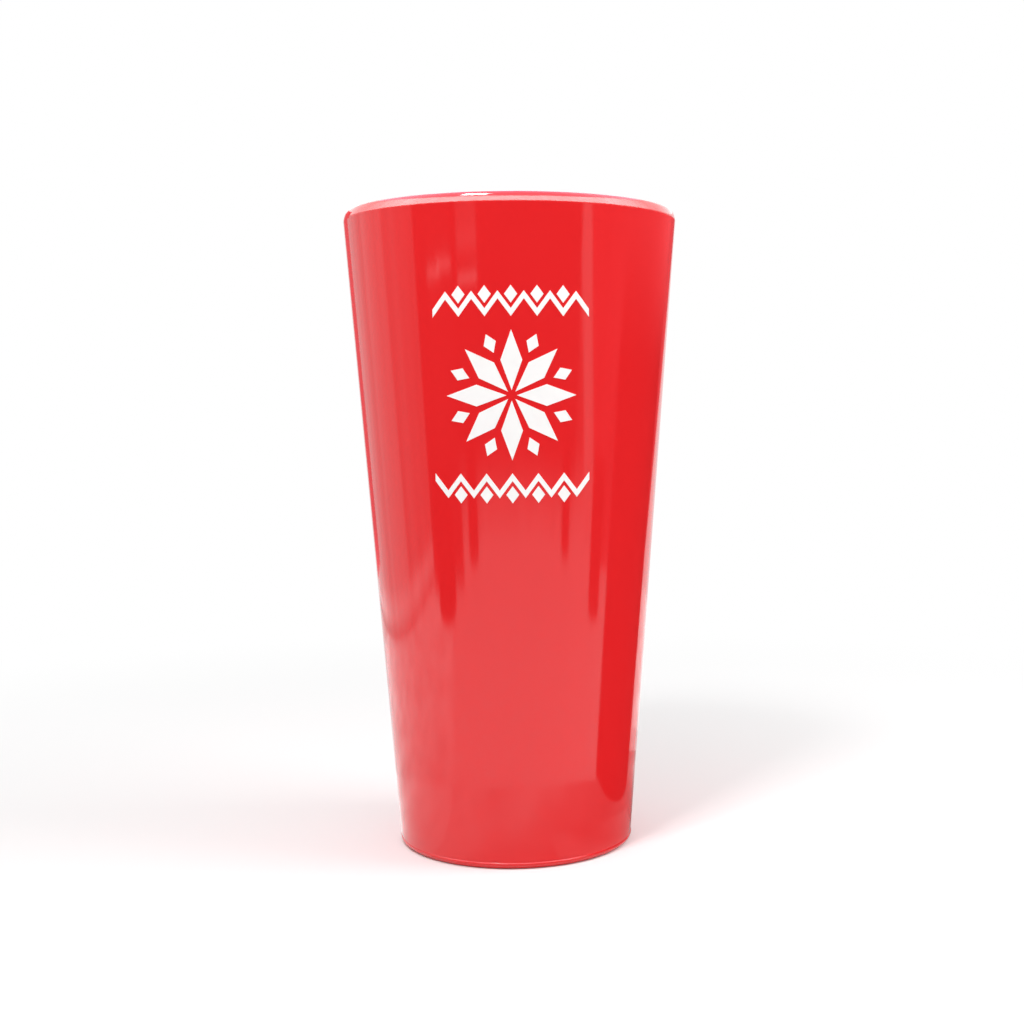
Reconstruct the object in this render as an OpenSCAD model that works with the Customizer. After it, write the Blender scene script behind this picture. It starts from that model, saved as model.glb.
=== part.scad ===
// Tall tapered drinking tumbler, injection moulded in one piece from opaque plastic,
// with an ornament printed on its front in one colour of ink.
// The cup stands on z = 0 with its axis on Z, and the print faces -Y.

/* [Cup] */
// Height from the table to the top of the lip
cup_h = 160; // [120:1:190]
// Radius of the outside wall line at the table
base_r = 29.7; // [25:0.1:34]
// Radius of the outside wall line at the top of the lip
mouth_r = 42.1; // [37:0.1:48]
// Wall thickness at the bottom
wall_base_t = 1.7; // [1.2:0.1:2.6]
// Wall thickness at the mouth
wall_mouth_t = 1.5; // [1.2:0.1:2.4]

/* [Lip] */
// Height of the rounding on the outside of the lip
lip_outer_h = 2.2; // [1:0.1:4]
// Width of that rounding, in from the wall line
lip_outer_w = 1.1; // [0.4:0.1:2]
// Height of the rounding on the inside of the lip
lip_inner_h = 0.6; // [0.2:0.1:2]

/* [Base] */
// Thickness of the floor
floor_t = 2; // [1.4:0.1:4]
// Radius of the fillet between the floor and the wall inside
floor_fillet_r = 4; // [1:0.5:8]
// Height of the rounding on the outside of the foot
foot_outer_h = 1.5; // [0.6:0.1:3]
// Width of that rounding, in from the wall line
foot_outer_w = 1; // [0.4:0.1:2]
// Width of the flat ring that the cup stands on
foot_w = 1.6; // [1:0.1:4]
// Radius of the rounding on the inside of the foot
foot_inner_r = 0.6; // [0.2:0.1:0.8]
// Depth of the recess inside the foot
recess_h = 2; // [1.6:0.1:4]
// How far the recess wall leans in on its way up to the recess roof
recess_draft = 0.4; // [0:0.1:1]
// Radius of the fillet under the recess roof
recess_fillet_r = 0.8; // [0.2:0.1:1]
// Radius of the gate mark in the middle of the recess
gate_r = 1.8; // [0.8:0.1:4]
// Height of the gate mark
gate_h = 0.4; // [0.2:0.1:0.8]

/* [Print] */
// Thickness of the ink film
ink_t = 0.1; // [0.05:0.01:0.2]
// Height from the middle of the print up to the top of the lip
print_drop = 46; // [40:1:60]
// Number of petals
petals = 8; // [4:1:8]
// Radius of the star, from its centre to the tips of its petals
star_r = 15; // [10:0.5:17]
// Radius of the bare spot in the middle of the star
star_eye_r = 1.2; // [0.6:0.1:3]
// Width of a petal
petal_w = 5; // [3:0.1:6]
// Radius at which the small lozenges lie between the petals
lozenge_ring_r = 12.8; // [11:0.1:16]
// Length of a lozenge, out from the star's centre
lozenge_l = 4.6; // [2:0.1:6]
// Width of a lozenge
lozenge_w = 3; // [1:0.1:4]
// Number of teeth along a border
teeth = 6; // [4:1:7]
// Distance from the middle of the print to the near edge of each border
border_y = 18; // [17.5:0.5:22]
// Width of one tooth of a border
tooth_w = 6; // [4:0.5:7]
// Height of a tooth
tooth_h = 4; // [2:0.1:5]
// Thickness of a border's zigzag line, measured upright
zigzag_t = 1.8; // [0.8:0.1:2.4]
// Width of the diamonds that sit between the teeth
diamond_w = 3; // [1:0.1:4]
// Bare gap between a diamond and the zigzag line, measured upright
diamond_gap = 1.2; // [0.5:0.1:2]

/* [Colours] */
// Colour of the moulded plastic
plastic_colour = "#e3262b";
// Colour of the ink
ink_colour = "#fbfafa";

/* [Hidden] */
turn_fn = 240;
curve_steps = 8;
fillet_steps = 12;
// Pull of a curve's handles that brings it closest to a quarter round
handle_pull = 0.5523;
// The most of the wall that the rounding outside may take at the lip
lip_share = 0.8;
floor_z = recess_h + floor_t;
print_z = cup_h - print_drop;
border_w = teeth * tooth_w;
// The diamonds have the slant of the teeth
diamond_h = 2 * tooth_h * diamond_w / tooth_w;
border_top = border_y + max(tooth_h + zigzag_t, zigzag_t + diamond_gap + diamond_h);
// How far the film reaches past the ornament before the shapes are cut out of it
film_margin = 2;
lip_top_w = min(lip_outer_w, lip_share * wall_mouth_t);

// Radius of the wall's outside at a height
function outer_r(z) = base_r + (mouth_r - base_r) * z / cup_h;
// Wall thickness at a height
function wall_t(z) = wall_base_t + (wall_mouth_t - wall_base_t) * z / cup_h;
// Radius of the wall's inside at a height
function inner_r(z) = outer_r(z) - wall_t(z);

// Curve that rounds a corner off: it leaves the first leg at a, bends round the corner
// and joins the second leg at b
function round_corner(a, corner, b, steps) =
    let (a_handle = a + handle_pull * (corner - a))
    let (b_handle = b + handle_pull * (corner - b))
    [for (i = [0 : steps])
        let (t = i / steps, u = 1 - t)
        u^3 * a + 3 * u^2 * t * a_handle + 3 * u * t^2 * b_handle + t^3 * b];

// Outer and inner radius of the flat ring of the foot
foot_out_r = base_r - foot_outer_w;
foot_in_r = foot_out_r - foot_w;
// Radius of the recess wall at a height
function recess_r(z) = foot_in_r - foot_inner_r - recess_draft * z / recess_h;

// Underside: gate mark, recess roof, fillet, recess wall and the rounding to the foot
function underside() = concat(
    [[0, recess_h - gate_h], [gate_r, recess_h - gate_h], [gate_r, recess_h]],
    round_corner([recess_r(recess_h) - recess_fillet_r, recess_h],
                 [recess_r(recess_h), recess_h],
                 [recess_r(recess_h - recess_fillet_r), recess_h - recess_fillet_r],
                 curve_steps),
    round_corner([recess_r(foot_inner_r), foot_inner_r], [recess_r(0), 0],
                 [foot_in_r, 0], curve_steps));

// Outside: rounding of the foot, straight wall and rounding of the lip
function outside() = concat(
    round_corner([foot_out_r, 0], [base_r, 0], [outer_r(foot_outer_h), foot_outer_h],
                 curve_steps),
    round_corner([outer_r(cup_h - lip_outer_h), cup_h - lip_outer_h], [mouth_r, cup_h],
                 [mouth_r - lip_top_w, cup_h], fillet_steps));

// Inside: rounding of the lip, straight wall, fillet and the floor
function inside() = concat(
    round_corner([mouth_r - lip_top_w, cup_h], [inner_r(cup_h), cup_h],
                 [inner_r(cup_h - lip_inner_h), cup_h - lip_inner_h], curve_steps),
    round_corner([inner_r(floor_z + floor_fillet_r), floor_z + floor_fillet_r],
                 [inner_r(floor_z), floor_z], [inner_r(floor_z) - floor_fillet_r, floor_z],
                 fillet_steps),
    [[0, floor_z]]);

module tumbler() {
    color(plastic_colour)
        rotate_extrude($fn = turn_fn)
            polygon(concat(underside(), outside(), inside()));
}

module diamond(width, height) {
    polygon([[width / 2, 0], [0, height / 2], [-width / 2, 0], [0, -height / 2]]);
}

// Star of rhombic petals, with a small lozenge in each space between two petals
module star() {
    petal_l = star_r - star_eye_r;
    for (i = [0 : petals - 1]) {
        rotate(i * 360 / petals)
            translate([star_eye_r + petal_l / 2, 0])
                diamond(petal_l, petal_w);
        rotate((i + 0.5) * 360 / petals)
            translate([lozenge_ring_r, 0])
                diamond(lozenge_l, lozenge_w);
    }
}

// Zigzag line whose teeth point up, as tall upright as zigzag_t all along
module zigzag() {
    edge = [for (i = [0 : 2 * teeth]) [(i - teeth) * tooth_w / 2, (i % 2) * tooth_h]];
    raised = [for (i = [2 * teeth : -1 : 0]) edge[i] + [0, zigzag_t]];
    polygon(concat(edge, raised));
}

// One border: the zigzag, and a diamond over each valley between two teeth
module border() {
    translate([0, border_y]) {
        zigzag();
        for (i = [1 : teeth - 1])
            translate([i * tooth_w - border_w / 2, zigzag_t + diamond_gap + diamond_h / 2])
                diamond(diamond_w, diamond_h);
    }
}

// The whole ornament, drawn flat about its middle
module ornament() {
    star();
    border();
    mirror([0, 1]) border();
}

// Film of ink all round the wall, out of which the shapes are cut
module ink_film() {
    low = print_z - border_top - film_margin;
    high = print_z + border_top + film_margin;
    rotate_extrude($fn = turn_fn)
        polygon([[outer_r(low), low], [outer_r(low) + ink_t, low],
                 [outer_r(high) + ink_t, high], [outer_r(high), high]]);
}

module ink_print() {
    color(ink_colour)
        intersection() {
            ink_film();
            translate([0, 0, print_z])
                rotate([90, 0, 0])
                    linear_extrude(height = mouth_r + ink_t)
                        ornament();
        }
}

tumbler();
ink_print();
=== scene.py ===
"""Tall tapered drinking tumbler: its moulded body, its print and a plain studio.

Every size is in metres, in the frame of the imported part: the cup stands on z = 0 with its
axis on Z, and its print faces -Y.
"""

import math
from typing import NamedTuple

import bmesh
import bpy
from bpy.props import FloatProperty, FloatVectorProperty, IntProperty, PointerProperty
from mathutils import Matrix, Vector
from mathutils.geometry import interpolate_bezier


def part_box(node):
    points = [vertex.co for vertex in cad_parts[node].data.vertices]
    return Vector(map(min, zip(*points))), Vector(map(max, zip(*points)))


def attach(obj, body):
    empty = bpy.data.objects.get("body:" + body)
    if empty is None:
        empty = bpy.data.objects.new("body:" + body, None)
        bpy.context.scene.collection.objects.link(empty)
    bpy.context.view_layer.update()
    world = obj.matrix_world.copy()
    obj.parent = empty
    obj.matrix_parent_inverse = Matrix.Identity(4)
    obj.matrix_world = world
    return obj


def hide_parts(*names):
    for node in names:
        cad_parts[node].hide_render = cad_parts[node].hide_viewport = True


bl_info = {
    "name": "Tapered Tumbler",
    "version": (1, 0, 0),
    "blender": (4, 5, 0),
    "location": "3D View > Sidebar > Tumbler",
    "description": "Builds a moulded drinking tumbler, its print and a plain studio",
    "category": "Object",
}

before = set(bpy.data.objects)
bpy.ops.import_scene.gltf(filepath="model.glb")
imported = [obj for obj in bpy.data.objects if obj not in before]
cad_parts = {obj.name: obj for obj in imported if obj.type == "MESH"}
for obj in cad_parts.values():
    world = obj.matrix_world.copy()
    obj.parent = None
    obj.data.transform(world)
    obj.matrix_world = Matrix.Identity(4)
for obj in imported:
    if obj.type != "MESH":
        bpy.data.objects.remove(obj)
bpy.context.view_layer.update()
CUP_LOW, CUP_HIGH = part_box("tumbler")
MM = 0.001

# How finely things are drawn
TURN_STEPS = 256
CURVE_POINTS = 11
WALL_RINGS = 24
FLOOR_STEPS = 96
CARD_STEPS = 48
GATE_BEVEL_STEPS = 3
# Cuts along each edge of the print's shapes, so that they follow the wall's curve
PRINT_CUTS = 9
# Points of the foot's curve up to the parting line, and the lean of that line's upper edge
PARTING_POINT = 7
PARTING_LEAN = math.radians(60)
# Pull of a curve's handles that brings it closest to a quarter round
HANDLE_PULL = 0.5523
# Share of its handles' length by which the middle of such a curve stands out
CURVE_REACH = 0.75
# Distance of the rings that hold the wall straight beside a rounding
HOLDING_RING = 0.4 * MM
# The most of the wall that the rounding outside may take at the lip
LIP_SHARE = 0.8
# Faces that meet at more than this angle keep a sharp edge
SHARP_ANGLE = math.radians(35)
# The edges of the gate mark lie within this many of its radii
GATE_EDGE_REACH = 1.1
# Points that lie closer together than this become one
WELD_DISTANCE = 0.001 * MM
# The built cup may differ from its solid by this much, which covers the solid's facets
FRAME_TOLERANCE = 0.3 * MM
# How bright the plastic stays where its flow lines are deepest
FLOW_TINT = 0.965
# Shares of red, green and blue that the ink keeps where its film is thin
THIN_INK_TINT = (0.985, 0.95, 0.95)
# Distances from the cup's axis between which the table fades to white
FLOOR_FADE = (0.06, 0.36)
# Width and place of the two lamps
KEY_WIDTH = 0.108
KEY_PLACE = (-0.14, -0.268, 0.496)
FILL_WIDTH = 0.3
FILL_PLACE = (0.42, -0.08, 0.4)
# Nearest distance that the camera sees
CLIP_START = 0.01


def linear(hex_colour):
    """An sRGB colour such as "#E0242A" as linear red, green, blue and 1."""
    parts = [int(hex_colour[i:i + 2], 16) / 255 for i in (1, 3, 5)]
    return [p / 12.92 if p <= 0.04045 else ((p + 0.055) / 1.055) ** 2.4 for p in parts] + [1.0]


def size_property(name, description, default):
    """A length that a user can change."""
    return FloatProperty(name=name, description=description, default=default, unit="LENGTH",
                         precision=5)


def colour_property(name, description, hex_colour):
    """A colour that a user can change."""
    return FloatVectorProperty(name=name, description=description, subtype="COLOR", size=4,
                               min=0, max=1, default=linear(hex_colour))


class TumblerSizes(bpy.types.PropertyGroup):
    """Section of the moulded cup."""

    height: size_property("Height", "From the table to the top of the lip", CUP_HIGH.z)
    base_radius: size_property("Base radius", "Outside wall line at the table", 29.7 * MM)
    mouth_radius: size_property("Mouth radius", "Outside wall line at the lip", 42.1 * MM)
    wall_base: size_property("Wall at the base", "Wall thickness at the table", 1.7 * MM)
    wall_mouth: size_property("Wall at the mouth", "Wall thickness at the lip", 1.5 * MM)
    lip_outer_height: size_property("Lip height", "Height of the rounding outside", 2.2 * MM)
    lip_outer_width: size_property("Lip width", "Width of the rounding outside", 1.1 * MM)
    lip_crease: size_property("Lip crease", "How far the lip turns in at its start", 0.4 * MM)
    lip_inner_height: size_property("Inner lip", "Height of the rounding inside", 0.6 * MM)
    floor: size_property("Floor", "Thickness of the floor", 2 * MM)
    floor_fillet: size_property("Floor fillet", "Radius between floor and wall", 4 * MM)
    foot_outer_height: size_property("Foot height", "Height of the foot's rounding", 1.5 * MM)
    foot_outer_width: size_property("Foot rounding", "Width of the foot's rounding", 1 * MM)
    foot_width: size_property("Foot ring", "Width of the ring it stands on", 1.6 * MM)
    foot_inner_radius: size_property("Inner foot", "Rounding inside the foot", 0.6 * MM)
    recess_depth: size_property("Recess", "Depth of the recess underneath", 2 * MM)
    recess_draft: size_property("Recess draft", "Lean of the recess wall", 0.4 * MM)
    recess_fillet: size_property("Recess fillet", "Radius under the recess roof", 0.8 * MM)
    gate_radius: size_property("Gate mark", "Radius of the gate mark", 1.8 * MM)
    gate_height: size_property("Gate mark height", "Height of the gate mark", 0.4 * MM)
    gate_bevel: size_property("Gate mark edge", "Bevel on the gate mark", 0.12 * MM)
    parting_height: size_property("Parting line", "Height of the mould's parting line", 1.0 * MM)
    parting_width: size_property("Parting ridge", "How far it stands out", 0.25 * MM)
    plastic: colour_property("Plastic", "Colour of the moulded plastic", "#E52124")

    def outer_radius(self, z):
        """Radius of the wall's outside at a height."""
        return self.base_radius + (self.mouth_radius - self.base_radius) * z / self.height

    def inner_radius(self, z):
        """Radius of the wall's inside at a height."""
        wall = self.wall_base + (self.wall_mouth - self.wall_base) * z / self.height
        return self.outer_radius(z) - wall

    def recess_radius(self, z):
        """Radius of the recess wall at a height."""
        foot = self.base_radius - self.foot_outer_width - self.foot_width
        return foot - self.foot_inner_radius - self.recess_draft * z / self.recess_depth


class PrintSizes(bpy.types.PropertyGroup):
    """Ornament in white ink, measured on its flat drawing."""

    ink: size_property("Ink film", "Thickness of the ink film", 0.08 * MM)
    drop: size_property("Drop", "From the lip's top to the middle of the print", 46 * MM)
    star_radius: size_property("Star", "Radius to the tips of the petals", 15 * MM)
    star_eye: size_property("Eye", "Radius of the bare spot in the middle", 1.2 * MM)
    petal_width: size_property("Petal", "Width of a petal", 5 * MM)
    lozenge_ring: size_property("Lozenge ring", "Radius of the ring of lozenges", 12.8 * MM)
    lozenge_length: size_property("Lozenge length", "Length of a lozenge", 4.6 * MM)
    lozenge_width: size_property("Lozenge width", "Width of a lozenge", 3 * MM)
    border_offset: size_property("Border", "From the middle to a border", 18 * MM)
    tooth_width: size_property("Tooth width", "Width of one tooth", 6 * MM)
    tooth_height: size_property("Tooth height", "Height of one tooth", 4 * MM)
    zigzag: size_property("Zigzag line", "Upright thickness of the line", 1.8 * MM)
    diamond_width: size_property("Diamond", "Width of a border's diamonds", 3 * MM)
    diamond_gap: size_property("Diamond gap", "From the line to a diamond", 1.2 * MM)
    petals: IntProperty(name="Petals", description="Number of petals", default=8, min=4, max=8)
    teeth: IntProperty(name="Teeth", description="Teeth along a border", default=6, min=4, max=7)
    colour: colour_property("Ink", "Colour of the ink", "#F4F2F1")


class StudioSettings(bpy.types.PropertyGroup):
    """Floor, lamps and camera."""

    floor_colour: colour_property("Floor", "Colour of the floor", "#F4F4F4")
    floor_radius: size_property("Floor radius", "Radius of the floor", 4.0)
    ambient: FloatProperty(name="Ambient", description="Light from all round", default=0.72)
    key_power: FloatProperty(name="Key lamp", description="Power of the lamp in front",
                             default=1.32, unit="POWER")
    fill_power: FloatProperty(name="Fill lamp", description="Power of the lamp at the right",
                              default=1.24, unit="POWER")
    lens: FloatProperty(name="Lens", description="Focal length in millimetres", default=50.52)
    camera_distance: size_property("Camera distance", "From the cup's axis", 369.8 * MM)
    camera_height: size_property("Camera height", "Above the table", 110.05 * MM)
    camera_yaw: FloatProperty(name="Yaw", description="Turn to the right", default=0.0328,
                              subtype="ANGLE")
    camera_pitch: FloatProperty(name="Pitch", description="Tilt upwards", default=-0.0694,
                                subtype="ANGLE")
    camera_roll: FloatProperty(name="Roll", description="Roll of the camera", default=-0.0087,
                               subtype="ANGLE")
    camera_shift: FloatProperty(name="Shift", description="Sideways shift of the lens",
                                default=-0.0469)


def new_object(name, mesh_builder, material):
    """Turns a finished bmesh into an object at the origin, in the scene."""
    mesh = bpy.data.meshes.new(name)
    mesh_builder.to_mesh(mesh)
    mesh_builder.free()
    mesh.materials.append(material)
    made = bpy.data.objects.new(name, mesh)
    bpy.context.scene.collection.objects.link(made)
    return made


def add_node(tree, kind, settings=None, links=None):
    """Adds a shader node. Settings go to its properties or else to its sockets."""
    node = tree.nodes.new(kind)
    for key, value in (settings or {}).items():
        if isinstance(key, str) and hasattr(node, key):
            setattr(node, key, value)
        else:
            node.inputs[key].default_value = value
    for key, source in (links or {}).items():
        tree.links.new(source, node.inputs[key])
    return node


def new_material(name):
    """An empty node material, its tree and its output."""
    material = bpy.data.materials.new(name)
    material.use_nodes = True
    tree = material.node_tree
    tree.nodes.clear()
    return material, tree, tree.nodes.new("ShaderNodeOutputMaterial")


def moulded_polystyrene(colour):
    """Glossy opaque polystyrene, injection moulded against a polished steel cavity.

    The eye gets a clear mirror image of the room over a saturated body colour, a little
    wavy where the plastic shrank, and fine upright flow lines.
    """
    material, tree, output = new_material("Moulded_Polystyrene_Red")
    place = add_node(tree, "ShaderNodeTexCoord").outputs["Object"]
    # Flow lines run up the wall, so the pattern is drawn out along Z
    flow_place = add_node(tree, "ShaderNodeMapping", {"Scale": (1.0, 1.0, 0.12)},
                          {"Vector": place})
    flow = add_node(tree, "ShaderNodeTexNoise",
                    {"Scale": 1 / (9 * MM), "Detail": 2.0, "Roughness": 0.45},
                    {"Vector": flow_place.outputs["Vector"]})
    deep = [c * FLOW_TINT for c in colour[:3]] + [1.0]
    tint = add_node(tree, "ShaderNodeMix", {"data_type": "RGBA"},
                    {"Factor": flow.outputs["Fac"]})
    tint.inputs["A"].default_value = colour
    tint.inputs["B"].default_value = deep
    # Haze on the polish, from handling, in patches about 20 mm wide
    haze = add_node(tree, "ShaderNodeTexNoise",
                    {"Scale": 1 / (20 * MM), "Detail": 4.0, "Roughness": 0.6}, {"Vector": place})
    gloss = add_node(tree, "ShaderNodeMapRange",
                     {"From Min": 0.3, "From Max": 0.7, "To Min": 0.075, "To Max": 0.11},
                     {"Value": haze.outputs["Fac"]})
    # Shrinkage waves about 14 mm long, and the fine skin of the moulding, 0.7 mm
    waves = add_node(tree, "ShaderNodeTexNoise",
                     {"Scale": 1 / (14 * MM), "Detail": 1.0, "Roughness": 0.3},
                     {"Vector": place})
    skin = add_node(tree, "ShaderNodeTexNoise",
                    {"Scale": 1 / (0.7 * MM), "Detail": 1.0, "Roughness": 0.5},
                    {"Vector": place})
    wave_bump = add_node(tree, "ShaderNodeBump", {"Strength": 1.0, "Distance": 0.03 * MM},
                         {"Height": waves.outputs["Fac"]})
    skin_bump = add_node(tree, "ShaderNodeBump", {"Strength": 1.0, "Distance": 0.0006 * MM},
                         {"Height": skin.outputs["Fac"],
                          "Normal": wave_bump.outputs["Normal"]})
    shader = add_node(tree, "ShaderNodeBsdfPrincipled", {"IOR": 1.59},
                      {"Base Color": tint.outputs["Result"],
                       "Roughness": gloss.outputs["Result"],
                       "Normal": skin_bump.outputs["Normal"]})
    tree.links.new(shader.outputs["BSDF"], output.inputs["Surface"])
    return material


def screen_ink(colour):
    """White ink printed through a fine screen and cured to a satin film.

    The eye gets an even opaque white with a softer shine than the plastic round it, and up
    close the faint grain that the screen leaves.
    """
    material, tree, output = new_material("Screen_Printed_Ink_White")
    place = add_node(tree, "ShaderNodeTexCoord").outputs["Object"]
    # The screen's threads are 0.1 mm apart and are drawn at 0.35 mm, to show at all
    grain = add_node(tree, "ShaderNodeTexNoise",
                     {"Scale": 1 / (0.35 * MM), "Detail": 2.0, "Roughness": 0.6},
                     {"Vector": place})
    film = add_node(tree, "ShaderNodeTexNoise",
                    {"Scale": 1 / (6 * MM), "Detail": 3.0, "Roughness": 0.5}, {"Vector": place})
    # Where the film lies thinner, a trace of the red below shows through
    thin = [c * f for c, f in zip(colour[:3], THIN_INK_TINT)] + [1.0]
    cover = add_node(tree, "ShaderNodeMapRange", {"From Min": 0.55, "From Max": 0.85},
                     {"Value": film.outputs["Fac"]})
    tint = add_node(tree, "ShaderNodeMix", {"data_type": "RGBA"},
                    {"Factor": cover.outputs["Result"]})
    tint.inputs["A"].default_value = colour
    tint.inputs["B"].default_value = thin
    gloss = add_node(tree, "ShaderNodeMapRange", {"To Min": 0.28, "To Max": 0.42},
                     {"Value": grain.outputs["Fac"]})
    bump = add_node(tree, "ShaderNodeBump", {"Strength": 1.0, "Distance": 0.004 * MM},
                    {"Height": grain.outputs["Fac"]})
    shader = add_node(tree, "ShaderNodeBsdfPrincipled", {"IOR": 1.5},
                      {"Base Color": tint.outputs["Result"],
                       "Roughness": gloss.outputs["Result"],
                       "Normal": bump.outputs["Normal"]})
    tree.links.new(shader.outputs["BSDF"], output.inputs["Surface"])
    return material


def rounded(start, corner, end):
    """Points of a curve that leaves one leg of a corner at start and joins the other at end."""
    return [Vector(p) for p in interpolate_bezier(
        start, start.lerp(corner, HANDLE_PULL), end.lerp(corner, HANDLE_PULL), end,
        CURVE_POINTS)]


def straight(start, end):
    """Points along a wall between two roundings, with a ring close to each of them."""
    run = (end - start).normalized() * HOLDING_RING
    first, last = start + run, end - run
    return [first.lerp(last, i / WALL_RINGS) for i in range(WALL_RINGS + 1)]


def section(cup):
    """Outline of half the cup's section, from the gate mark round to the floor inside."""

    def at(radius, z):
        return Vector((radius, 0, z))

    top = cup.height
    roof = cup.recess_depth
    floor_top = roof + cup.floor
    lip_width = min(cup.lip_outer_width, LIP_SHARE * cup.wall_mouth)
    foot_out = cup.base_radius - cup.foot_outer_width
    foot_in = foot_out - cup.foot_width
    lip_start = top - cup.lip_outer_height
    lip_end = top - cup.lip_inner_height
    fillet_top = floor_top + cup.floor_fillet
    fillet_low = roof - cup.recess_fillet
    gate = [at(0, roof - cup.gate_height), at(cup.gate_radius, roof - cup.gate_height),
            at(cup.gate_radius, roof)]
    recess = rounded(at(cup.recess_radius(roof) - cup.recess_fillet, roof),
                     at(cup.recess_radius(roof), roof),
                     at(cup.recess_radius(fillet_low), fillet_low))
    foot_inside = rounded(
        at(cup.recess_radius(cup.foot_inner_radius), cup.foot_inner_radius),
        at(cup.recess_radius(0), 0), at(foot_in, 0))
    foot_outside = rounded(
        at(foot_out, 0), at(cup.base_radius, 0),
        at(cup.outer_radius(cup.foot_outer_height), cup.foot_outer_height))
    # The lip starts with a faint crease, so its corner lies further in than the wall line
    lip_corner = cup.mouth_radius - cup.lip_crease
    lip_outside = rounded(at(cup.outer_radius(lip_start), lip_start),
                          at(lip_corner, top), at(cup.mouth_radius - lip_width, top))
    lip_inside = rounded(at(cup.mouth_radius - lip_width, top), at(cup.inner_radius(top), top),
                         at(cup.inner_radius(lip_end), lip_end))
    fillet = rounded(at(cup.inner_radius(fillet_top), fillet_top),
                     at(cup.inner_radius(floor_top), floor_top),
                     at(cup.inner_radius(floor_top) - cup.floor_fillet, floor_top))
    # The mould's parting line runs over the top of the foot's rounding
    foot_outside = foot_outside[:PARTING_POINT]
    ridge_top = foot_outside[-1].z + cup.parting_height
    ridge_end = at(cup.outer_radius(ridge_top), ridge_top)
    pull = cup.parting_width / CURVE_REACH
    ridge_slope = at(pull * math.sin(PARTING_LEAN), -pull * math.cos(PARTING_LEAN))
    parting_line = [Vector(p) for p in interpolate_bezier(
        foot_outside[-1], foot_outside[-1] + at(pull, 0), ridge_end + ridge_slope, ridge_end,
        CURVE_POINTS)]
    wall_outside = straight(ridge_end, lip_outside[0])
    wall_inside = straight(lip_inside[-1], fillet[0])
    return (gate + recess + foot_inside + foot_outside + parting_line[1:] + wall_outside
            + lip_outside + lip_inside[1:] + wall_inside + fillet + [at(0, floor_top)])


def check_against_solid(made, node):
    """Raises an error if a piece isn't as large as the solid that it stands for."""
    low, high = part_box(node)
    corners = [Vector(c) for c in made.bound_box]
    for axis in range(3):
        for solid, piece in ((low, min(c[axis] for c in corners)),
                             (high, max(c[axis] for c in corners))):
            if abs(solid[axis] - piece) > FRAME_TOLERANCE:
                raise ValueError(f"{made.name} is off its solid by "
                                 f"{(piece - solid[axis]) / MM:.2f} mm along axis {axis}")


class TUMBLER_OT_moulded_body(bpy.types.Operator):
    """Turn the cup's section round its axis, as one moulding"""

    bl_idname = "tumbler.moulded_body"
    bl_label = "Moulded Body"
    bl_options = {"REGISTER", "UNDO"}

    def execute(self, context):
        cup = context.scene.tumbler_sizes
        body = bmesh.new()
        points = [body.verts.new(p) for p in section(cup)]
        edges = [body.edges.new(pair) for pair in zip(points, points[1:])]
        bmesh.ops.spin(body, geom=points + edges, cent=(0, 0, 0), axis=(0, 0, 1),
                       angle=2 * math.pi, steps=TURN_STEPS, use_merge=True)
        bmesh.ops.remove_doubles(body, verts=body.verts, dist=WELD_DISTANCE)
        bmesh.ops.recalc_face_normals(body, faces=body.faces)
        gate_edges = [e for e in body.edges
                      if e.calc_face_angle(0) > SHARP_ANGLE
                      and all(v.co.xy.length < cup.gate_radius * GATE_EDGE_REACH
                              for v in e.verts)]
        bmesh.ops.bevel(body, geom=gate_edges, offset=cup.gate_bevel, affect="EDGES",
                        segments=GATE_BEVEL_STEPS, profile=0.5, material=-1)
        for face in body.faces:
            face.smooth = True
        made = new_object("Moulded_Tumbler", body, moulded_polystyrene(tuple(cup.plastic)))
        made.data.set_sharp_from_angle(angle=SHARP_ANGLE)
        check_against_solid(made, "tumbler")
        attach(made, "root")
        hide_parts("tumbler")
        return {"FINISHED"}


def add_rhombus(drawing, centre, length, width, turn=0.0):
    """A four-sided patch of ink on the flat drawing, in the XZ plane."""
    place = (Matrix.Translation((centre[0], 0, centre[1]))
             @ Matrix.Rotation(-turn, 4, "Y")
             @ Matrix.Rotation(math.radians(90), 4, "X")
             @ Matrix.Diagonal((length / 2, width / 2, 1, 1)))
    bmesh.ops.create_circle(drawing, cap_ends=True, segments=4, radius=1, matrix=place)


def add_star(drawing, ink, middle):
    """Star of rhombic petals, with a small lozenge in each space between two petals."""
    petal = ink.star_radius - ink.star_eye
    for i in range(ink.petals):
        for turns, reach, length, width in (
                (i, ink.star_eye + petal / 2, petal, ink.petal_width),
                (i + 0.5, ink.lozenge_ring, ink.lozenge_length, ink.lozenge_width)):
            turn = turns * 2 * math.pi / ink.petals
            centre = (reach * math.cos(turn), middle + reach * math.sin(turn))
            add_rhombus(drawing, centre, length, width, turn)


def add_border(drawing, ink, middle, way):
    """Zigzag line with a diamond over each valley. The way is 1 for up and -1 for down."""
    half = ink.teeth * ink.tooth_width / 2
    base = middle + way * ink.border_offset
    diamond = 2 * ink.tooth_height * ink.diamond_width / ink.tooth_width
    start = [drawing.verts.new((-half, 0, base)),
             drawing.verts.new((-half, 0, base + way * ink.zigzag))]
    end_edge = drawing.edges.new(start)
    for i in range(2 * ink.teeth):
        grown = bmesh.ops.extrude_edge_only(drawing, edges=[end_edge])["geom"]
        end_edge = next(g for g in grown if isinstance(g, bmesh.types.BMEdge)
                        and all(v in grown for v in g.verts))
        rise = way * ink.tooth_height * (1 if i % 2 == 0 else -1)
        bmesh.ops.translate(drawing, verts=end_edge.verts[:],
                            vec=(ink.tooth_width / 2, 0, rise))
    for i in range(1, ink.teeth):
        height = ink.zigzag + ink.diamond_gap + diamond / 2
        add_rhombus(drawing, (i * ink.tooth_width - half, base + way * height),
                    ink.diamond_width, diamond)


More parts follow.
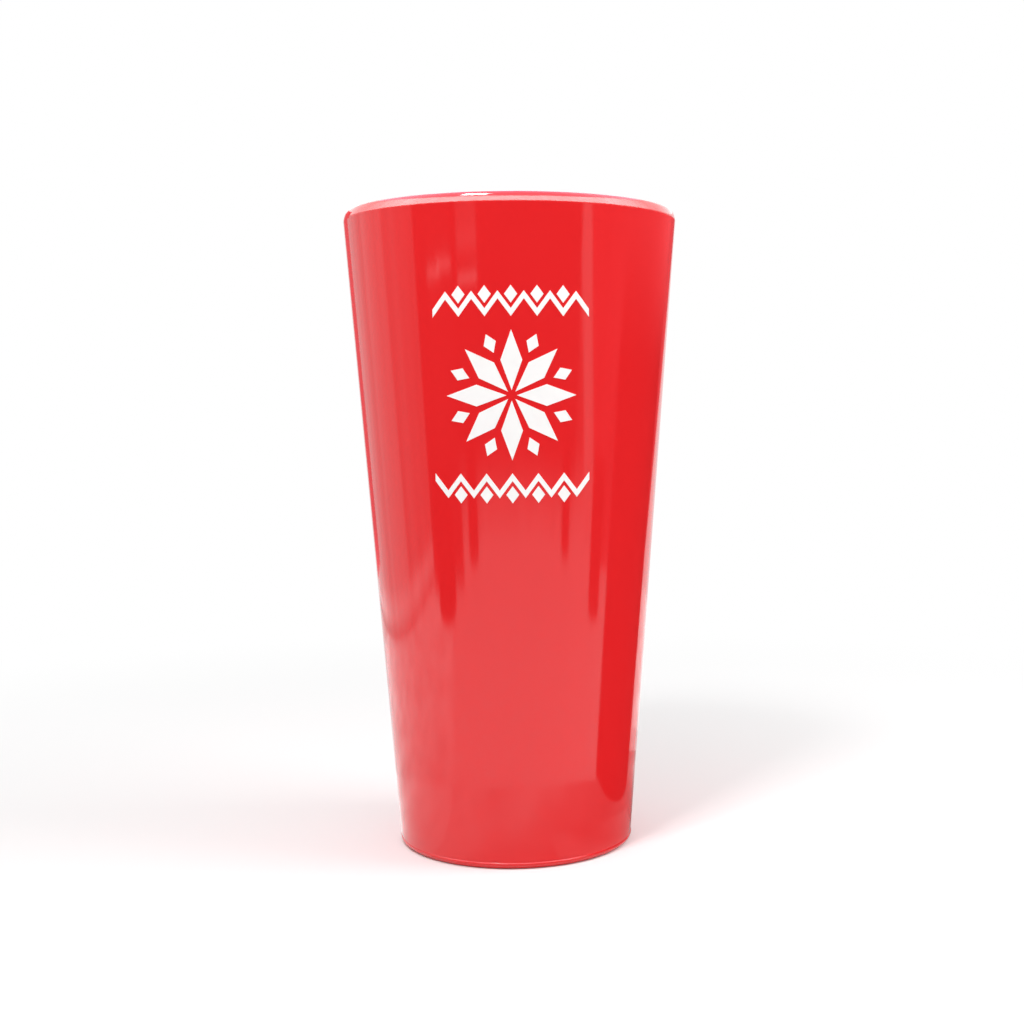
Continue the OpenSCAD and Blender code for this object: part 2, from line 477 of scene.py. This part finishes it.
def wrap_on_wall(drawing, cup):
    """Moves the flat drawing straight back on to the front of the wall."""
    for vert in drawing.verts:
        radius = cup.outer_radius(vert.co.z)
        vert.co.y = -math.sqrt(radius ** 2 - vert.co.x ** 2)


class TUMBLER_OT_ink_print(bpy.types.Operator):
    """Print the ornament on the front of the wall"""

    bl_idname = "tumbler.ink_print"
    bl_label = "Ink Print"
    bl_options = {"REGISTER", "UNDO"}

    def execute(self, context):
        cup = context.scene.tumbler_sizes
        ink = context.scene.print_sizes
        middle = cup.height - ink.drop
        drawing = bmesh.new()
        add_star(drawing, ink, middle)
        add_border(drawing, ink, middle, 1)
        add_border(drawing, ink, middle, -1)
        bmesh.ops.subdivide_edges(drawing, edges=drawing.edges, cuts=PRINT_CUTS,
                                  use_grid_fill=True)
        wrap_on_wall(drawing, cup)
        bmesh.ops.recalc_face_normals(drawing, faces=drawing.faces)
        grown = bmesh.ops.extrude_face_region(drawing, geom=drawing.faces[:],
                                              use_keep_orig=True)["geom"]
        for vert in (g for g in grown if isinstance(g, bmesh.types.BMVert)):
            outward = Vector((vert.co.x, vert.co.y, 0)).normalized()
            vert.co += outward * ink.ink
        bmesh.ops.recalc_face_normals(drawing, faces=drawing.faces)
        for face in drawing.faces:
            face.smooth = True
        made = new_object("Ink_Print", drawing, screen_ink(tuple(ink.colour)))
        made.data.set_sharp_from_angle(angle=SHARP_ANGLE)
        check_against_solid(made, "ink_print")
        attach(made, "root")
        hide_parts("ink_print")
        return {"FINISHED"}


class Card(NamedTuple):
    """Curved card round the cup, in degrees from the camera's side towards +X.

    Its brightness goes from foot_light at its lower edge to light, over the height of fade.
    """

    start: float
    end: float
    distance: float
    low: float
    high: float
    light: float
    foot_light: float = 1.0
    fade: float = 0.0
    # How far its top is turned round the cup against its foot
    lean: float = 0.0
    colour: str = "#FFFFFF"


class Wall(NamedTuple):
    """Straight upright card between two points, lit like a curved one."""

    start: tuple
    end: tuple
    low: float
    high: float
    light: float
    foot_light: float
    fade: float


class Sheet(NamedTuple):
    """Ring-shaped card between two edges, whose light changes along an axis."""

    start: float
    end: float
    # Distance and height of its two edges
    inner: tuple
    outer: tuple
    axis: tuple
    fade_from: float
    fade_to: float
    first_light: float
    light: float
    colour: str = "#FFFFFF"


class Post(NamedTuple):
    """Round post on the table, placed like a card."""

    place: float
    distance: float
    radius: float
    high: float
    light: float
    top_light: float
    # Height from which its light changes to that of its top
    fade_from: float
    colour: str = "#FFFFFF"


# Colour of the light that the table throws back
FLOOR_BOUNCE = "#DCDCDC"
# Tint of the cards that give a reddish light
RED_ROOM = "#FF7F85"
# Curved cards that draw the broad stripes down the cup. The thin bright ones draw the faint
# marks of a window under the lip
CARDS = {
    "front_flag": Card(-40, 47, 370 * MM, 0, 205 * MM, 0.04, 0.85, 48 * MM),
    "left_flag": Card(-64, -38, 285 * MM, 0, 190 * MM, 0.06, 0.5, 14 * MM),
    "front_right_flag": Card(40, 57, 385 * MM, 0, 205 * MM, 0.18, 0.9, 50 * MM, -15),
    "window_card": Card(57, 65, 380 * MM, 0, 205 * MM, 0.85, 0.95, 40 * MM, -15),
    "right_flag": Card(65, 115, 350 * MM, 0, 200 * MM, 0.8, 1.0, 14 * MM, -15, RED_ROOM),
    "back_right_flag": Card(66, 131, 340 * MM, 0, 205 * MM, 0.65, 1.0, 14 * MM, 27, RED_ROOM),
    "window_glint_left": Card(-55, -46, 280 * MM, 131 * MM, 134 * MM, 1.9, 1.9, MM),
    "window_glint_middle": Card(-48, -38, 280 * MM, 133 * MM, 136 * MM, 1.8, 1.8, MM),
    "window_glint_right": Card(-34, -21, 280 * MM, 125.5 * MM, 129.5 * MM, 1.5, 1.5, MM),
    "window_glint_upper": Card(-34, -21, 280 * MM, 138 * MM, 190 * MM, 0.3, 0.6, 12 * MM),
    "back_left_flag": Card(-158, -139, 520 * MM, 0, 300 * MM, 0.9, 1.2, 30 * MM, 0, RED_ROOM),
}
# The near post draws the dark stripe down the right side, and the others the dark stripes
# that end halfway down
POSTS = {
    "near_right_post": Post(89.3, 86 * MM, 33 * MM, 161 * MM, 0.1, 0.9, 115 * MM, RED_ROOM),
    "left_post": Post(-53, 272 * MM, 36 * MM, 60 * MM, 0.03, 0.03, 0),
    "front_left_post": Post(-30, 342 * MM, 22 * MM, 60 * MM, 0.03, 0.03, 0),
    "front_right_post": Post(40, 352 * MM, 19 * MM, 60 * MM, 0.03, 0.03, 0),
    "right_post": Post(66, 272 * MM, 24 * MM, 60 * MM, 0.03, 0.03, 0),
}
# Straight pale walls at the left of the cup, with a pale strip along their foot
SIDE_WALLS = {
    "side_wall_near": Wall((-300 * MM, -190 * MM), (-254 * MM, 0), 12 * MM, 190 * MM, 0.55,
                           1.35, 12 * MM),
    "side_wall_far": Wall((-254 * MM, 0), (-198 * MM, 233 * MM), 12 * MM, 190 * MM, 0.9,
                          1.35, 12 * MM),
    "side_strip": Wall((-300 * MM, -190 * MM), (-160 * MM, 390 * MM), 0, 12 * MM, 1.35,
                       0.55, 12 * MM),
}
SHEETS = {
    # Glowing sheets just over the table, seen only in the cup's gloss, which paint the light
    # and shade of the table's reflection: painted light where it looks brighter, and painted
    # shade at the right of the cup's foot and beside the near post. The second one rises
    # outwards, so that its light also changes with the distance from the cup
    "table_left": Sheet(-165, -48, (30.5 * MM, 0.3 * MM), (75 * MM, 0.3 * MM), (-1, 0, 0),
                        15 * MM, 45 * MM, 0.95, 1.25),
    "table_right": Sheet(-48, 195, (30.5 * MM, 0.3 * MM), (72 * MM, 2.8 * MM), (1, 0, -24.9),
                         -57 * MM, 33 * MM, 1.0, 0.18),
    "foot_glow": Sheet(22, 100, (30.5 * MM, 0.5 * MM), (45 * MM, 1.3 * MM), (1, 0, 0), 20 * MM,
                       33 * MM, 0.66, 0.36),
    "table_glow": Sheet(-150, -50, (75 * MM, 0.2 * MM), (290 * MM, 0.2 * MM), (-1, 0, 0),
                        40 * MM, 150 * MM, 1.1, 1.43),
    "table_shade": Sheet(95, 160, (72 * MM, 0.2 * MM), (98 * MM, 0.2 * MM), (1, 0, 0),
                         30 * MM, 75 * MM, 0.85, 0.45),
    "table_glow_back": Sheet(120, 165, (125 * MM, 0.2 * MM), (420 * MM, 0.2 * MM), (1, 0, 0),
                             0, MM, 1.25, 1.25),
    # Rings of light over the cards, which draw the pale line along the lip, and the ceiling
    "lamp_ring": Sheet(-180, 180, (900 * MM, 340 * MM), (900 * MM, 850 * MM), (0, 1, 0),
                       -300 * MM, 500 * MM, 8.5, 2.2),
    "upper_ring": Sheet(-180, 180, (900 * MM, 850 * MM), (450 * MM, 1300 * MM), (0, 1, 0),
                        -700 * MM, 0, 2.2, 4.0, "#D8E8FF"),
    "ceiling": Sheet(-180, 180, (10 * MM, 1300 * MM), (450 * MM, 1300 * MM), (1, 0, 0), 0, MM,
                     3.5, 3.5, "#97CFFF"),
}


def card_light(name, axis, fade_from, fade_to, first_light, light, colour="#FFFFFF"):
    """Matt card, seen only in reflections, whose light changes along one axis."""
    material, tree, output = new_material(name)
    place = add_node(tree, "ShaderNodeTexCoord").outputs["Object"]
    along = add_node(tree, "ShaderNodeVectorMath", {"operation": "DOT_PRODUCT", 1: axis},
                     {0: place})
    level = add_node(tree, "ShaderNodeMapRange",
                     {"interpolation_type": "SMOOTHSTEP", "From Min": fade_from,
                      "From Max": fade_to, "To Min": first_light, "To Max": light},
                     {"Value": along.outputs["Value"]})
    # Upright streaks, as of folds or things standing in front, about 30 mm wide
    streak_place = add_node(tree, "ShaderNodeMapping", {"Scale": (1.0, 1.0, 0.06)},
                            {"Vector": place})
    streaks = add_node(tree, "ShaderNodeTexNoise", {"Scale": 1 / (30 * MM), "Detail": 3.0},
                       {"Vector": streak_place.outputs["Vector"]})
    streak_level = add_node(tree, "ShaderNodeMapRange",
                            {"From Min": 0.3, "From Max": 0.7, "To Min": 0.8, "To Max": 1.2},
                            {"Value": streaks.outputs["Fac"]})
    strength = add_node(tree, "ShaderNodeMath", {"operation": "MULTIPLY"},
                        {0: level.outputs["Result"], 1: streak_level.outputs["Result"]})
    light_shader = add_node(tree, "ShaderNodeEmission", {"Color": linear(colour)},
                            {"Strength": strength.outputs[0]})
    tree.links.new(light_shader.outputs["Emission"], output.inputs["Surface"])
    return material


def add_card(name, builder, material):
    """Puts a card in the studio, where only the gloss of the cup sees it."""
    made = new_object(name, builder, material)
    made.visible_camera = False
    made.visible_diffuse = False
    made.visible_shadow = False
    made.visible_transmission = False


def round_the_cup(angle, distance, height):
    """A point at an angle from the camera's side towards +X."""
    turn = math.radians(angle)
    return Vector((distance * math.sin(turn), -distance * math.cos(turn), height))


def turned_edge(first, last, angle):
    """Surface that an edge sweeps when it turns about the cup's axis."""
    builder = bmesh.new()
    ends = [builder.verts.new(first), builder.verts.new(last)]
    edge = builder.edges.new(ends)
    bmesh.ops.spin(builder, geom=ends + [edge], cent=(0, 0, 0), axis=(0, 0, 1),
                   angle=math.radians(angle), steps=CARD_STEPS)
    return builder


def add_curved_card(name, card):
    """Upright curved card."""
    builder = turned_edge(round_the_cup(card.start, card.distance, card.low),
                          round_the_cup(card.start + card.lean, card.distance, card.high),
                          card.end - card.start)
    add_card(name, builder, card_light(name + "_light", (0, 0, 1), card.low,
                                       card.low + card.fade, card.foot_light, card.light,
                                       card.colour))


def add_post(name, post):
    """Round post on the table."""
    builder = bmesh.new()
    middle = round_the_cup(post.place, post.distance, post.high / 2)
    bmesh.ops.create_cone(builder, segments=CARD_STEPS, radius1=post.radius,
                          radius2=post.radius, depth=post.high,
                          matrix=Matrix.Translation(middle))
    add_card(name, builder, card_light(name + "_light", (0, 0, 1), post.fade_from, post.high,
                                       post.light, post.top_light, post.colour))


def add_side_wall(name, wall):
    """Straight upright card."""
    builder = bmesh.new()
    ends = [builder.verts.new((*end, wall.low)) for end in (wall.start, wall.end)]
    grown = bmesh.ops.extrude_edge_only(builder, edges=[builder.edges.new(ends)])["geom"]
    raised = [g for g in grown if isinstance(g, bmesh.types.BMVert)]
    bmesh.ops.translate(builder, verts=raised, vec=(0, 0, wall.high - wall.low))
    add_card(name, builder, card_light(name + "_light", (0, 0, 1), wall.low,
                                       wall.low + wall.fade, wall.foot_light, wall.light))


def add_sheet(name, sheet):
    """Ring-shaped card."""
    builder = turned_edge(*(round_the_cup(sheet.start, *edge)
                            for edge in (sheet.inner, sheet.outer)), sheet.end - sheet.start)
    add_card(name, builder, card_light(name + "_light", sheet.axis, sheet.fade_from,
                                       sheet.fade_to, sheet.first_light, sheet.light,
                                       sheet.colour))


def background_rays(tree):
    """1 for the rays that see the background: the camera's, and those in gloss or through glass."""
    rays = add_node(tree, "ShaderNodeLightPath").outputs
    seen = add_node(tree, "ShaderNodeMath", {"operation": "MAXIMUM"},
                    {0: rays["Is Camera Ray"], 1: rays["Is Glossy Ray"]})
    shown = add_node(tree, "ShaderNodeMath", {"operation": "MAXIMUM"},
                     {0: seen.outputs[0], 1: rays["Is Transmission Ray"]})
    return shown.outputs[0]


def white_room(ambient):
    """World that shows white to the camera and in gloss, and lights the rest softly."""
    world = bpy.data.worlds.new("White_Room")
    bpy.context.scene.world = world
    world.use_nodes = True
    tree = world.node_tree
    tree.nodes.clear()
    soft = add_node(tree, "ShaderNodeBackground", {"Strength": ambient})
    white = add_node(tree, "ShaderNodeBackground", {"Strength": 1.0})
    for background in (soft, white):
        background.inputs["Color"].default_value = (1, 1, 1, 1)
    mix = add_node(tree, "ShaderNodeMixShader", links={
        0: background_rays(tree), 1: soft.outputs[0], 2: white.outputs[0]})
    output = tree.nodes.new("ShaderNodeOutputWorld")
    tree.links.new(mix.outputs[0], output.inputs["Surface"])


def pale_floor(colour):
    """Matt pale table. Far from the cup it fades to the white of the room.

    It throws back less light than it shows, so that the cup darkens a little to its foot.
    """
    material, tree, output = new_material("Pale_Table")
    place = add_node(tree, "ShaderNodeTexCoord").outputs["Object"]
    reach = add_node(tree, "ShaderNodeVectorMath", {"operation": "LENGTH"}, {0: place})
    far = add_node(tree, "ShaderNodeMapRange",
                   {"interpolation_type": "SMOOTHSTEP", "From Min": FLOOR_FADE[0],
                    "From Max": FLOOR_FADE[1]}, {"Value": reach.outputs["Value"]})
    shown = background_rays(tree)
    part = add_node(tree, "ShaderNodeMath", {"operation": "MULTIPLY"},
                    {0: far.outputs["Result"], 1: shown})
    bounce = add_node(tree, "ShaderNodeBsdfDiffuse", {"Color": linear(FLOOR_BOUNCE)})
    pale = add_node(tree, "ShaderNodeBsdfDiffuse", {"Color": colour})
    matt = add_node(tree, "ShaderNodeMixShader", links={
        0: shown, 1: bounce.outputs[0], 2: pale.outputs[0]})
    white = add_node(tree, "ShaderNodeEmission", {"Strength": 1.0})
    mix = add_node(tree, "ShaderNodeMixShader", links={
        0: part.outputs[0], 1: matt.outputs[0], 2: white.outputs[0]})
    tree.links.new(mix.outputs[0], output.inputs["Surface"])
    return material


def add_softbox(name, power, width, place, target, in_gloss):
    """Square soft lamp that faces a point and stays out of the picture."""
    light = bpy.data.lights.new(name, "AREA")
    light.shape = "SQUARE"
    light.size = width
    light.energy = power
    lamp = bpy.data.objects.new(name, light)
    lamp.location = place
    lamp.rotation_euler = (Vector(target) - Vector(place)).to_track_quat("-Z", "Y").to_euler()
    lamp.visible_camera = False
    lamp.visible_glossy = in_gloss
    bpy.context.scene.collection.objects.link(lamp)


def add_camera(studio):
    """Camera at the photograph's viewing angle, found from the cup's outline."""
    yaw, pitch, roll = studio.camera_yaw, studio.camera_pitch, studio.camera_roll
    forward = Vector((math.sin(yaw) * math.cos(pitch), math.cos(yaw) * math.cos(pitch),
                      math.sin(pitch)))
    right = Vector((math.cos(yaw), -math.sin(yaw), 0))
    up = right.cross(forward)
    turned_right = right * math.cos(roll) + up * math.sin(roll)
    turned_up = up * math.cos(roll) - right * math.sin(roll)
    lens = bpy.data.cameras.new("Camera")
    lens.lens = studio.lens
    lens.shift_x = studio.camera_shift
    lens.clip_start = CLIP_START
    camera = bpy.data.objects.new("Camera", lens)
    facing = Matrix((turned_right, turned_up, -forward)).transposed().to_4x4()
    stand = Matrix.Translation((0, -studio.camera_distance, studio.camera_height))
    camera.matrix_world = stand @ facing
    bpy.context.scene.collection.objects.link(camera)
    bpy.context.scene.camera = camera


class TUMBLER_OT_studio(bpy.types.Operator):
    """Set up the floor, the white room, the lamps, the cards and the camera"""

    bl_idname = "tumbler.studio"
    bl_label = "Studio"
    bl_options = {"REGISTER", "UNDO"}

    def execute(self, context):
        studio = context.scene.studio_settings
        floor = bmesh.new()
        bmesh.ops.create_circle(floor, cap_ends=True, segments=FLOOR_STEPS,
                                radius=studio.floor_radius)
        table = new_object("Table", floor, pale_floor(tuple(studio.floor_colour)))
        white_room(studio.ambient)
        lip_centre = (0, 0, CUP_HIGH.z)
        add_softbox("Key_Softbox", studio.key_power, KEY_WIDTH, KEY_PLACE, lip_centre, True)
        add_softbox("Right_Softbox", studio.fill_power, FILL_WIDTH, FILL_PLACE, lip_centre,
                    False)
        for name, card in CARDS.items():
            add_curved_card(name, card)
        for name, post in POSTS.items():
            add_post(name, post)
        for name, wall in SIDE_WALLS.items():
            add_side_wall(name, wall)
        for name, sheet in SHEETS.items():
            add_sheet(name, sheet)
        add_camera(studio)
        context.scene.view_settings.view_transform = "Standard"
        return {"FINISHED"}


class TUMBLER_PT_panel(bpy.types.Panel):
    """Buttons that build the tumbler, its print and the studio"""

    bl_idname = "TUMBLER_PT_panel"
    bl_label = "Tapered Tumbler"
    bl_space_type = "VIEW_3D"
    bl_region_type = "UI"
    bl_category = "Tumbler"

    def draw(self, context):
        for operator, group in BUILD_ORDER:
            box = self.layout.box()
            box.operator(operator.bl_idname)
            settings = getattr(context.scene, group)
            for name in settings.bl_rna.properties.keys():
                if name not in ("rna_type", "name"):
                    box.prop(settings, name)


BUILD_ORDER = (
    (TUMBLER_OT_moulded_body, "tumbler_sizes"),
    (TUMBLER_OT_ink_print, "print_sizes"),
    (TUMBLER_OT_studio, "studio_settings"),
)
GROUPS = {"tumbler_sizes": TumblerSizes, "print_sizes": PrintSizes,
          "studio_settings": StudioSettings}
CLASSES = (*GROUPS.values(), *(operator for operator, _ in BUILD_ORDER), TUMBLER_PT_panel)


def register():
    """Adds the classes and the settings to Blender."""
    for cls in CLASSES:
        bpy.utils.register_class(cls)
    for name, group in GROUPS.items():
        setattr(bpy.types.Scene, name, PointerProperty(type=group))


def unregister():
    """Takes the settings and the classes away again."""
    for name in GROUPS:
        delattr(bpy.types.Scene, name)
    for cls in reversed(CLASSES):
        bpy.utils.unregister_class(cls)


def main():
    register()
    bpy.ops.tumbler.moulded_body()
    bpy.ops.tumbler.ink_print()
    bpy.ops.tumbler.studio()


if __name__ == "__main__":
    main()
